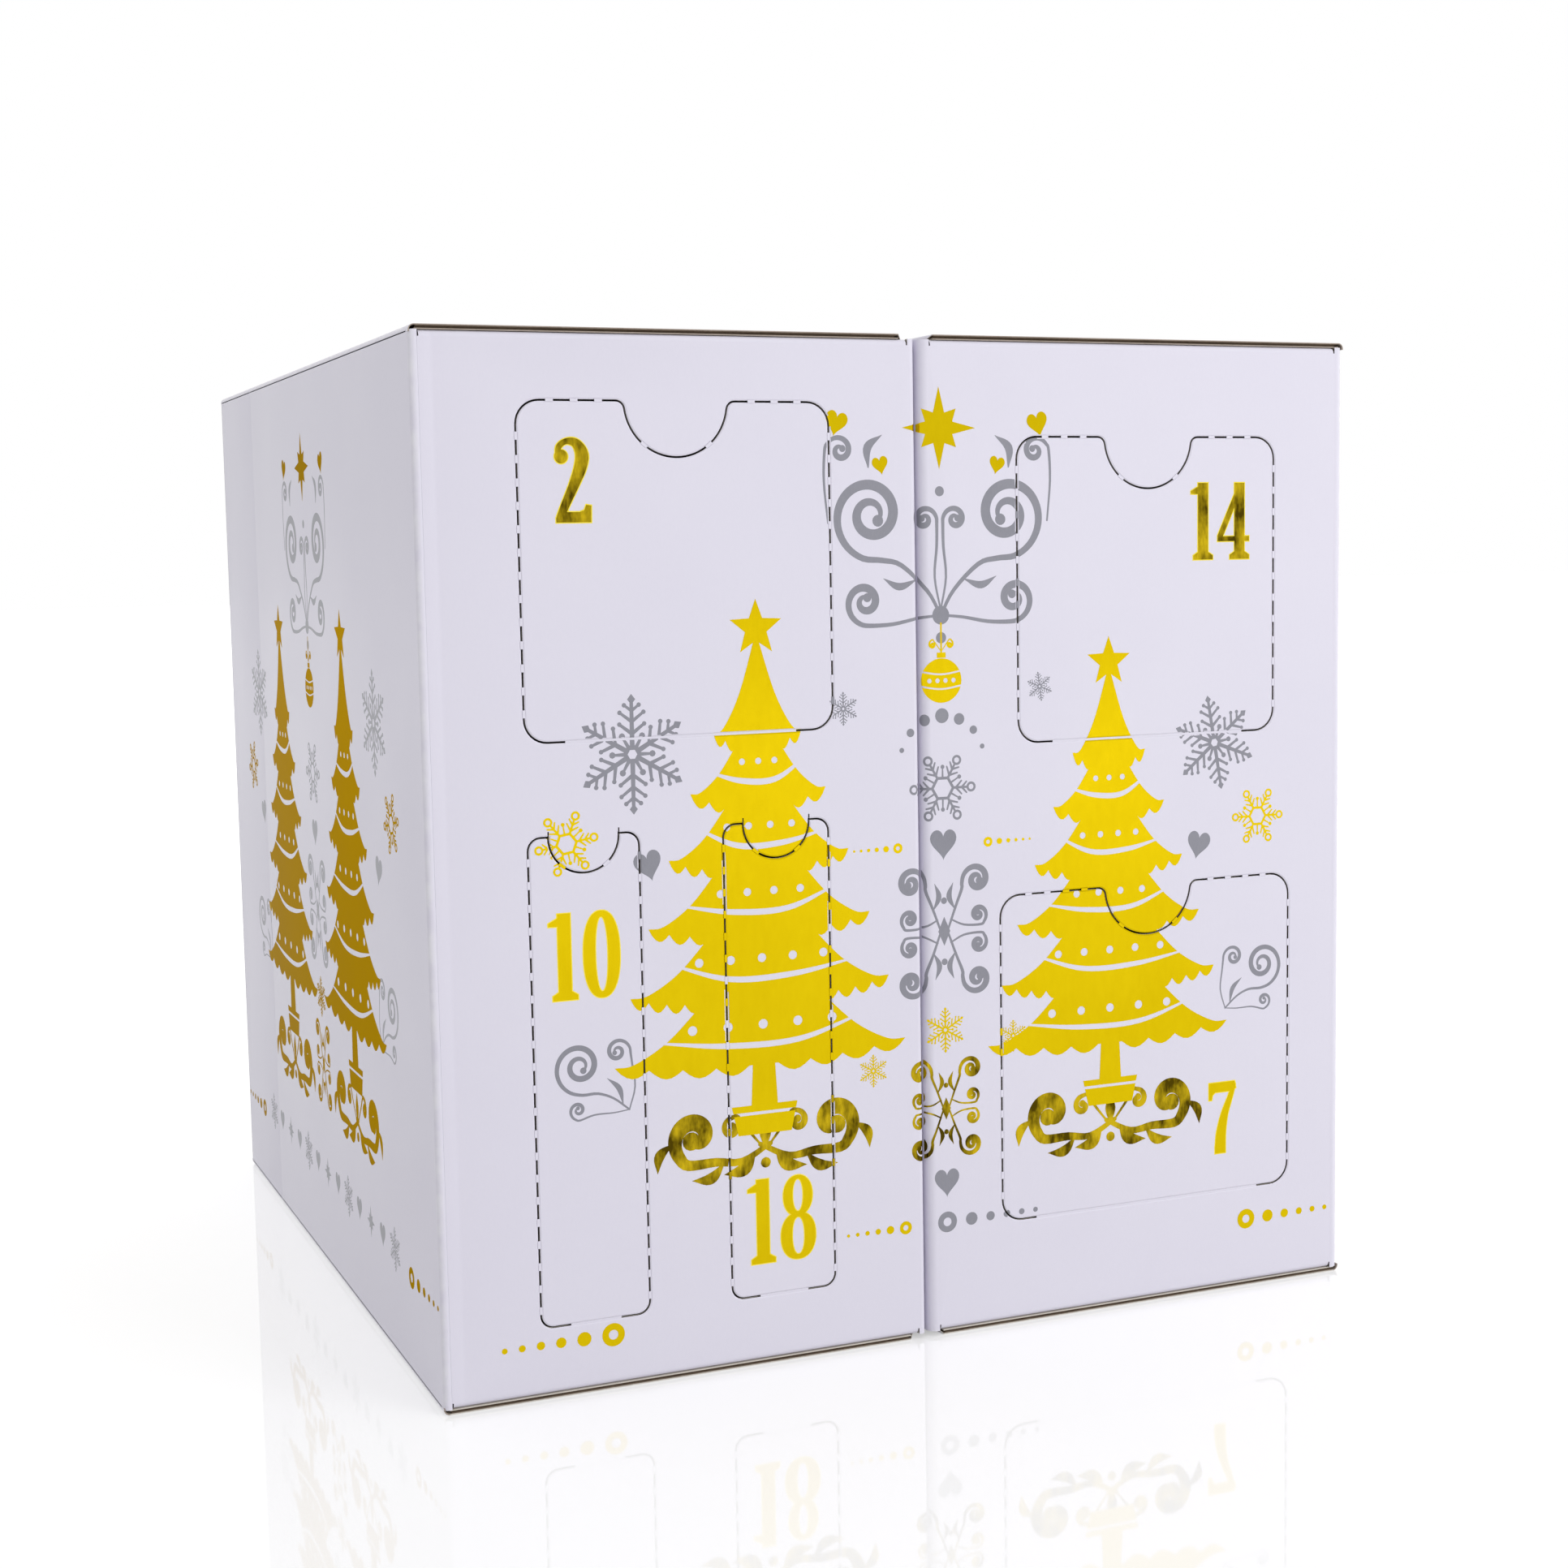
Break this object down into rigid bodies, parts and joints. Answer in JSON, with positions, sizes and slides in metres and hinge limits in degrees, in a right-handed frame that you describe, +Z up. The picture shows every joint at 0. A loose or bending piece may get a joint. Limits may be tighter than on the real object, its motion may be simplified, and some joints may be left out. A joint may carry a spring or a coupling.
{
  "type": "beauty advent calendar",
  "caption": "Cube advent calendar of printed folding board: two tuck-end cartons joined at the back like a book, with numbered perforated doors over open compartments.",
  "frame": {"origin": "the middle of the base of the closed cube, on the surface it stands on", "axes": "+Z up; -Y is the front with the split and the five doors; +X is to the right seen from the front"},
  "size_m": [0.3, 0.3, 0.3],
  "materials": {
    "coated_board": "pale lavender white coated fluted board with gold foil and grey print",
    "cell_board": "uncoated greyish white folding board",
    "joining_tape": "matt paper tape in the board's colour"
  },
  "bodies": {
    "left_half": {"left_wrap": "coated_board", "left_bottom_lid": "coated_board", "left_dust_flaps": "coated_board", "left_hinge_leaf": "joining_tape", "cell_02": "cell_board", "cell_05": "cell_board", "cell_10": "cell_board", "cell_12": "cell_board", "cell_16": "cell_board", "cell_18": "cell_board", "cell_21": "cell_board"},
    "right_half": {"right_wrap": "coated_board", "right_bottom_lid": "coated_board", "right_dust_flaps": "coated_board", "right_hinge_leaf": "joining_tape", "cell_01": "cell_board", "cell_03": "cell_board", "cell_04": "cell_board", "cell_06": "cell_board", "cell_07": "cell_board", "cell_08": "cell_board", "cell_09": "cell_board", "cell_11": "cell_board", "cell_13": "cell_board", "cell_14": "cell_board", "cell_15": "cell_board", "cell_17": "cell_board", "cell_19": "cell_board", "cell_20": "cell_board", "cell_22": "cell_board", "cell_23": "cell_board", "cell_24": "cell_board"},
    "left_lid": {"left_top_lid": "coated_board"},
    "right_lid": {"right_top_lid": "coated_board"},
    "door_01": {"door_01": "coated_board"},
    "door_02": {"door_02": "coated_board"},
    "door_03": {"door_03": "coated_board"},
    "door_04": {"door_04": "coated_board"},
    "door_05": {"door_05": "coated_board"},
    "door_06": {"door_06": "coated_board"},
    "door_07": {"door_07": "coated_board"},
    "door_08": {"door_08": "coated_board"},
    "door_09": {"door_09": "coated_board"},
    "door_10": {"door_10": "coated_board"},
    "door_11": {"door_11": "coated_board"},
    "door_12": {"door_12": "coated_board"},
    "door_13": {"door_13": "coated_board"},
    "door_14": {"door_14": "coated_board"},
    "door_15": {"door_15": "coated_board"},
    "door_16": {"door_16": "coated_board"},
    "door_17": {"door_17": "coated_board"},
    "door_18": {"door_18": "coated_board"},
    "door_19": {"door_19": "coated_board"},
    "door_20": {"door_20": "coated_board"},
    "door_21": {"door_21": "coated_board"},
    "door_22": {"door_22": "coated_board"},
    "door_23": {"door_23": "coated_board"},
    "door_24": {"door_24": "coated_board"}
  },
  "joints": [
    {"name": "book_hinge", "type": "hinge", "parent": "left_half", "child": "right_half", "pos_m": [0, 0.15, 0.15], "axis": [0, 0, 1], "range_deg": [0, 90]},
    {"name": "left_lid_hinge", "type": "hinge", "parent": "left_half", "child": "left_lid", "pos_m": [-0.15, -0.00015, 0.3], "axis": [0, -1, 0], "range_deg": [0, 120]},
    {"name": "right_lid_hinge", "type": "hinge", "parent": "right_half", "child": "right_lid", "pos_m": [0.15, -0.00015, 0.3], "axis": [0, 1, 0], "range_deg": [0, 120]},
    {"name": "door_01_hinge", "type": "hinge", "parent": "right_half", "child": "door_01", "pos_m": [0.15, -0.00015, 0.15864], "axis": [0, 1, 0], "range_deg": [0, 110]},
    {"name": "door_02_hinge", "type": "hinge", "parent": "left_half", "child": "door_02", "pos_m": [-0.07473, -0.15, 0.1866], "axis": [1, 0, 0], "range_deg": [0, 110]},
    {"name": "door_03_hinge", "type": "hinge", "parent": "right_half", "child": "door_03", "pos_m": [0.10665, 0.1497, 0.042], "axis": [-1, 0, 0], "range_deg": [0, 90]},
    {"name": "door_04_hinge", "type": "hinge", "parent": "right_half", "child": "door_04", "pos_m": [0.15, -0.06402, 0.10143], "axis": [0, 1, 0], "range_deg": [0, 110]},
    {"name": "door_05_hinge", "type": "hinge", "parent": "left_half", "child": "door_05", "pos_m": [-0.04535, 0.1497, 0.132], "axis": [-1, 0, 0], "range_deg": [0, 90]},
    {"name": "door_06_hinge", "type": "hinge", "parent": "right_half", "child": "door_06", "pos_m": [0.15, -0.00015, 0.0225], "axis": [0, 1, 0], "range_deg": [0, 90]},
    {"name": "door_07_hinge", "type": "hinge", "parent": "right_half", "child": "door_07", "pos_m": [0.07787, -0.15, 0.0327], "axis": [1, 0, 0], "range_deg": [0, 90]},
    {"name": "door_08_hinge", "type": "hinge", "parent": "right_half", "child": "door_08", "pos_m": [0.15, -0.06402, 0.22889], "axis": [0, 1, 0], "range_deg": [0, 110]},
    {"name": "door_09_hinge", "type": "hinge", "parent": "right_half", "child": "door_09", "pos_m": [0.04385, 0.1497, 0.042], "axis": [-1, 0, 0], "range_deg": [0, 90]},
    {"name": "door_10_hinge", "type": "hinge", "parent": "left_half", "child": "door_10", "pos_m": [-0.10493, -0.15, 0.021], "axis": [1, 0, 0], "range_deg": [0, 90]},
    {"name": "door_11_hinge", "type": "hinge", "parent": "right_half", "child": "door_11", "pos_m": [0.15, 0.06372, 0.09274], "axis": [0, 1, 0], "range_deg": [0, 110]},
    {"name": "door_12_hinge", "type": "hinge", "parent": "left_half", "child": "door_12", "pos_m": [-0.10963, 0.1497, 0.186], "axis": [-1, 0, 0], "range_deg": [0, 90]},
    {"name": "door_13_hinge", "type": "hinge", "parent": "right_half", "child": "door_13", "pos_m": [0.15, -0.00015, 0.21586], "axis": [0, 1, 0], "range_deg": [0, 110]},
    {"name": "door_14_hinge", "type": "hinge", "parent": "right_half", "child": "door_14", "pos_m": [0.07824, -0.15, 0.1794], "axis": [1, 0, 0], "range_deg": [0, 110]},
    {"name": "door_15_hinge", "type": "hinge", "parent": "right_half", "child": "door_15", "pos_m": [0.15, -0.06402, 0.0225], "axis": [0, 1, 0], "range_deg": [0, 90]},
    {"name": "door_16_hinge", "type": "hinge", "parent": "left_half", "child": "door_16", "pos_m": [-0.04535, 0.1497, 0.03], "axis": [-1, 0, 0], "range_deg": [0, 90]},
    {"name": "door_17_hinge", "type": "hinge", "parent": "right_half", "child": "door_17", "pos_m": [0.15, 0.06372, 0.14996], "axis": [0, 1, 0], "range_deg": [0, 110]},
    {"name": "door_18_hinge", "type": "hinge", "parent": "left_half", "child": "door_18", "pos_m": [-0.04677, -0.15, 0.021], "axis": [1, 0, 0], "range_deg": [0, 90]},
    {"name": "door_19_hinge", "type": "hinge", "parent": "right_half", "child": "door_19", "pos_m": [0.15, -0.00015, 0.08188], "axis": [0, 1, 0], "range_deg": [0, 110]},
    {"name": "door_20_hinge", "type": "hinge", "parent": "right_half", "child": "door_20", "pos_m": [0.15, 0.06372, 0.0225], "axis": [0, 1, 0], "range_deg": [0, 90]},
    {"name": "door_21_hinge", "type": "hinge", "parent": "left_half", "child": "door_21", "pos_m": [-0.10963, 0.1497, 0.03], "axis": [-1, 0, 0], "range_deg": [0, 90]},
    {"name": "door_22_hinge", "type": "hinge", "parent": "right_half", "child": "door_22", "pos_m": [0.15, -0.06402, 0.15864], "axis": [0, 1, 0], "range_deg": [0, 110]},
    {"name": "door_23_hinge", "type": "hinge", "parent": "right_half", "child": "door_23", "pos_m": [0.15, 0.06372, 0.22889], "axis": [0, 1, 0], "range_deg": [0, 110]},
    {"name": "door_24_hinge", "type": "hinge", "parent": "right_half", "child": "door_24", "pos_m": [0.07525, 0.1497, 0.15], "axis": [-1, 0, 0], "range_deg": [0, 90]}
  ]
}
